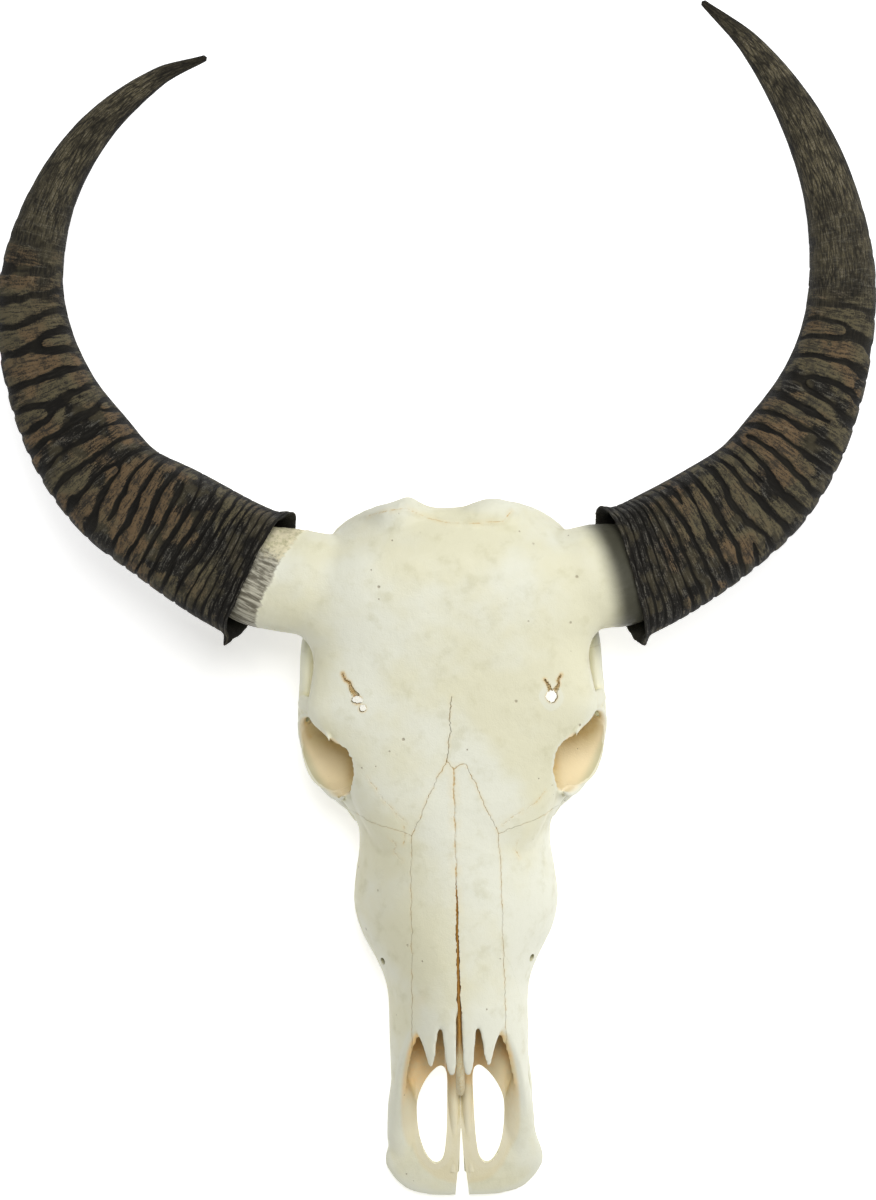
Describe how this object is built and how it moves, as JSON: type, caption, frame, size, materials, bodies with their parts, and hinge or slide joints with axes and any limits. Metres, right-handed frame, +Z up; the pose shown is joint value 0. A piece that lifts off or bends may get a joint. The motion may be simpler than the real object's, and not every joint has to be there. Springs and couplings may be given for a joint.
{
  "type": "water buffalo skull",
  "caption": "Cleaned skull of an adult water buffalo without its lower jaw, lying face up, with two long curved horn sheaths on their bony cores.",
  "frame": {"origin": "middle of the bounding box's bottom, on the floor that the skull lies on", "axes": "+Y runs from the nose tip towards the poll and the horn tips, +Z up out of the floor, +X towards the skull's left side"},
  "size_m": [0.6676, 0.881, 0.2065],
  "materials": {
    "bone": "dry, degreased bone, matt to faintly satin",
    "horn": "weathered horn, matt, ridged and fibrous"
  },
  "bodies": {
    "root": {"cranium": "bone", "maxilla_left": "bone", "maxilla_right": "bone", "premaxilla_left": "bone", "premaxilla_right": "bone", "nasal_left": "bone", "nasal_right": "bone", "zygomatic_left": "bone", "zygomatic_right": "bone", "horn_sheath_left": "horn", "horn_sheath_right": "horn"}
  },
  "joints": []
}
